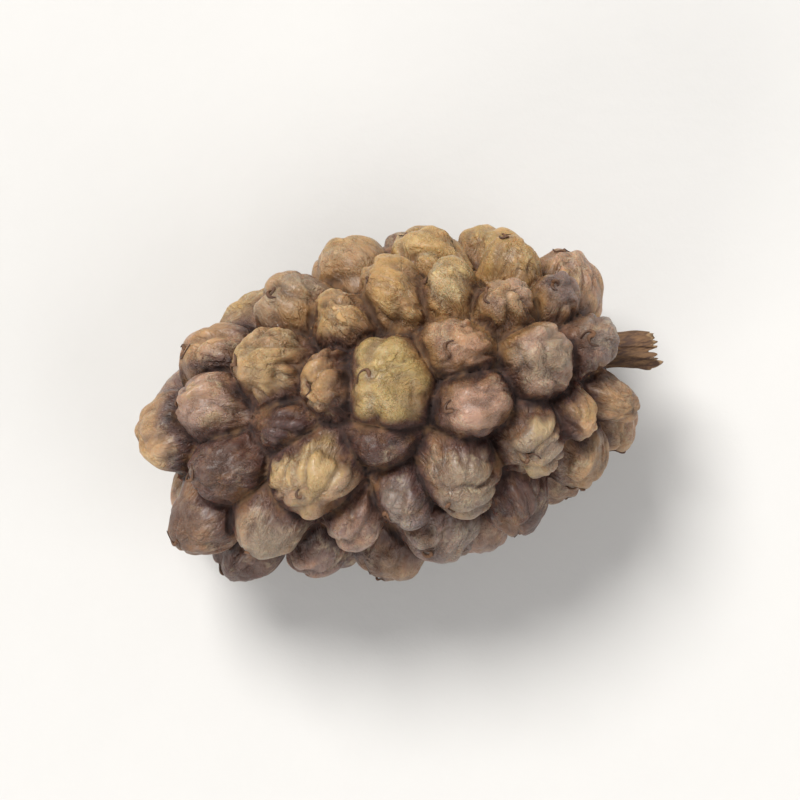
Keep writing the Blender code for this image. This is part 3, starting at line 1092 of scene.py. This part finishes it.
def makeDriedFlesh():
    make, here, mottle = newMaterial(driedSkin, "driedFlesh", *flesh["mottle"])
    grainHere = make.attribute("grain", "Vector")
    crestHere = make.attribute("crestShare")

    def strayed(name):
        reach, *kind = flesh[name + "Stray"]
        stray = make.swing(make.noise(here, *kind))
        return make.plus(make.attribute(name), make.times(stray, reach))

    def spots(name):
        kind, ends = flesh[name]
        return make.mapRange(make.noise(here, *kind), *ends)

    # 0 where a noise passes through its middle, and 1 beside that
    def creases(name, where):
        kind, width = flesh[name]
        off = make.maths("ABSOLUTE", make.swing(make.noise(grainHere, *kind)))
        return make.mixValue(where, 1.0, make.mapRange(off, 0.0, width))

    def tinted(colour, mask, share, tint):
        return make.mixColour(make.times(mask, flesh[share]), colour, flesh[tint])

    # from the bottom of the clefts up the sides to the crests: the flesh's own darker colour low down,
    # with painted shade in the clefts and on the sides
    rise = strayed("rise")
    # painted shade, growing from the side of the fruit towards the light to the side away from it
    juice = strayed("juice")
    darker = make.mapRange(juice, *flesh["darkerAwayFromLight"])
    side = make.mixColour(darker, flesh["litSide"], flesh["side"])
    side = make.mixColour(make.mapRange(juice, *flesh["darkestAwayFromLight"]), side, flesh["shade"])
    deep = make.mixColour(darker, flesh["litDeep"], flesh["deep"])
    shadedLower = make.mixColour(make.mapRange(rise, *flesh["cleftShadeRise"]), deep, side)
    second = make.mapRange(strayed("patched"), *flesh["secondFrom"])
    second = make.times(second, flesh["secondShare"])
    tone = [make.attribute(name, "Color") for name in ("tone", "secondTone")]
    crest = make.mixColour(second, *tone)
    colour = make.mixColour(make.mapRange(rise, *flesh["sideShadeRise"]), shadedLower, crest)
    # painted shade in the folds, towards the sides' colour
    foldShade = make.mapRange(make.attribute("fold"), *flesh["foldShadeFrom"])
    colour = tinted(colour, foldShade, "foldShadeShare", "side")

    # wrinkles with painted shade in their creases, warmer spots, dried sugar with a painted highlight,
    # and scars
    ridge = creases("wrinkles", spots("wrinkledSpots"))
    # painted shade in the wrinkles' creases
    colour = tinted(colour, make.maths("SUBTRACT", 1.0, ridge), "creaseShadeShare", "side")
    colour = tinted(colour, spots("warmSpots"), "warmShare", "warm")
    colour = make.shaded(colour, mottle["Shade"])
    # pale dried sugar on the crests, and a painted highlight there
    sugarAndSheenMask = make.times(spots("sugarAndSheenSpots"), mottle["Patches"])
    sugarAndSheenMask = make.times(sugarAndSheenMask, make.mapRange(crestHere, *flesh["sugarAndSheenFrom"]))
    colour = tinted(colour, sugarAndSheenMask, "sugarAndSheenShare", "sugarAndSheen")
    colour = tinted(colour, make.attribute("scar"), "scarShare", "scar")

    rough = make.plus(spots("roughness"), make.times(sugarAndSheenMask, flesh["bloomRoughness"]))
    rough = make.mixValue(make.mapRange(crestHere, 0.05, 0.45), flesh["cleftRoughness"], rough)
    crinkle = creases("crinkles", spots("crinkledSpots"))
    height = make.plus(ridge, make.times(crinkle, flesh["crinkle"]))
    height = make.times(height, make.mapRange(crestHere, 0.05, 0.35))
    wrinkled = make.bump(height, flesh["wrinkleBump"])
    make.finish(
        Base_Color=colour,
        Roughness=rough,
        IOR=1.45,
        Subsurface_Weight=flesh["subsurface"],
        Subsurface_Radius=(1.0, 0.42, 0.22),
        Subsurface_Scale=0.0007,
        Coat_Weight=make.mapRange(crestHere, 0.3, 0.7, 0.0, flesh["coat"]),
        Coat_Roughness=0.35,
        Normal=make.grained(here, *flesh["grain"], Normal=wrinkled),
    )


wood = {
    "bark": srgb(112, 84, 58),
    "dark": srgb(66, 44, 32),
    "pith": srgb(158, 129, 95),
    "pithShare": 0.7,
    "fibres": (7.0, 4.0, 0.65),
    "fibreStretch": (0.25, 1.0, 1.0),
    "fibreBump": 0.00005,
    "roughness": (0.62, 0.85),
    "mottle": (0.7, 0.35),
    "grain": (0.09, 0.00001),
}


def makeDryStalk():
    make, here, mottle = newMaterial(stalkStub, "dryStalk", *wood["mottle"])
    fibres = make.noise(make.stretch(here, wood["fibreStretch"]), *wood["fibres"])
    colour = make.mixColour(make.mapRange(fibres, 0.36, 0.62), wood["dark"], wood["bark"])
    torn = make.times(make.attribute("broken"), wood["pithShare"])
    colour = make.mixColour(torn, colour, wood["pith"])
    fibrous = make.bump(fibres, wood["fibreBump"])
    make.finish(
        Base_Color=make.shaded(colour, mottle["Shade"]),
        Roughness=make.mapRange(fibres, 0.3, 0.7, *wood["roughness"]),
        IOR=1.45,
        Normal=make.grained(here, *wood["grain"], Normal=fibrous),
    )


thread = {
    "root": srgb(110, 77, 52),
    "tip": srgb(64, 43, 33),
    "roughness": (0.55, 0.72),
    "mottle": (0.3, 0.3),
    "grain": (0.05, 0.00001),
}


def makeStyleThread():
    make, here, mottle = newMaterial(styleThreads, "styleThread", *thread["mottle"])
    colour = make.mixColour(make.attribute("reach"), thread["root"], thread["tip"])
    make.finish(
        Base_Color=make.shaded(colour, mottle["Shade"]),
        Roughness=make.mapRange(mottle["Patches"], 0.0, 1.0, *thread["roughness"]),
        IOR=1.45,
        Normal=make.grained(here, *thread["grain"]),
    )


makeDriedFlesh()
makeDryStalk()
makeStyleThread()
for piece, slot in ((driedSkin, "dried_flesh"), (stalkStub, "dry_stalk"), (styleThreads, "dry_stalk")):
    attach(piece, "root")
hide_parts("mulberry")
print("materials made")


# The pale floor, the soft light and the camera
studio = {
    "floor": srgb(208, 207, 205),
    "floorRoughness": (0.86, 0.92),
    "floorMottle": (9.0, 0.015),
    "floorGrain": (0.5, 0.00003),
    "floorReach": 3.0,  # how far it goes, in metres
    "flatReach": 0.4,  # from here outwards it curves up to be the background
    "floorRise": 0.7,
    "underIt": 0.02,  # how far below the fruit it lies, in millimetres
    "turn": 17.0,  # how far it lies turned in the photo, in degrees
    "frameWidth": 26.0,  # what the picture takes in, in millimetres
    "lens": 180.0,
    "sensor": 36.0,
    "cameraUp": 0.004,  # height of the fruit's outline, in metres
    "world": 0.34,
    "worldColour": (0.98, 0.97, 0.97, 1.0),
    # each light: where it comes from, how wide in degrees, how strong, its colour
    "keyLight": ((-0.56, 0.9, 1.35), 25.0, 3.65, (1.0, 0.98, 0.95)),
    "fillLight": ((1.1, -0.5, 1.1), 40.0, 0.8, (0.97, 0.98, 1.0)),
    "lowLight": ((-0.9, -1.2, 0.6), 34.0, 1.3, (1.0, 0.98, 0.95)),
}


def makeFloor():
    around, rings = 96, 28
    turns = np.arange(around) * math.tau / around
    low = -studio["underIt"]
    points, faces = [[0.0, 0.0, low]], []
    far, flat = studio["floorReach"], studio["flatReach"]
    for ring in range(1, rings + 1):
        reach = far * (ring / rings) ** 1.5
        up = max(reach - flat, 0.0) / (far - flat)
        height = studio["floorRise"] * up**2 / mm + low
        points += [(reach / mm * math.cos(t), reach / mm * math.sin(t), height) for t in turns]
    for k in range(around):
        after = (k + 1) % around
        faces.append((0, 1 + k, 1 + after))
        for ring in range(rings - 1):
            a, b = 1 + ring * around + k, 1 + ring * around + after
            faces.append((a, a + around, b + around, b))
    floor = meshObject("floor", points, faces)
    make, here, mottle = newMaterial(floor, "paleFloor", *studio["floorMottle"])
    make.finish(
        Base_Color=make.shaded(studio["floor"], mottle["Shade"]),
        Roughness=make.mapRange(mottle["Patches"], 0.0, 1.0, *studio["floorRoughness"]),
        Specular_IOR_Level=0.0,
        Normal=make.grained(here, *studio["floorGrain"], Strength=0.35),
    )


def addLight(name, place, width, strength, colour):
    lamp = bpy.data.lights.new(name, "SUN")
    lamp.angle = math.radians(width)
    lamp.energy = strength
    lamp.color = colour
    light = newObject(name, lamp)
    place = Matrix.Rotation(math.radians(-studio["turn"]), 3, "Z") @ Vector(place)
    light.location = place
    light.rotation_euler = (-place).to_track_quat("-Z", "Y").to_euler()


def makeStudio():
    makeFloor()
    for name in ("keyLight", "fillLight", "lowLight"):
        addLight(name, *studio[name])
    world = bpy.data.worlds.new("studioWorld")
    world.use_nodes = True
    glow = world.node_tree.nodes["Background"].inputs
    glow["Color"].default_value = studio["worldColour"]
    glow["Strength"].default_value = studio["world"]
    bpy.context.scene.world = world

    camera = bpy.data.cameras.new("studioCamera")
    camera.lens = studio["lens"]
    camera.sensor_width = studio["sensor"]
    camera.clip_start = 0.005
    camera.clip_end = 20.0
    viewer = newObject("studioCamera", camera)
    away = studio["frameWidth"] * mm * studio["lens"] / studio["sensor"]
    viewer.location = (0.0, 0.0, away + studio["cameraUp"])
    viewer.rotation_euler = (0.0, 0.0, math.radians(-studio["turn"]))
    bpy.context.scene.camera = viewer
    bpy.context.scene.view_settings.view_transform = "Standard"


makeStudio()
print("studio made")
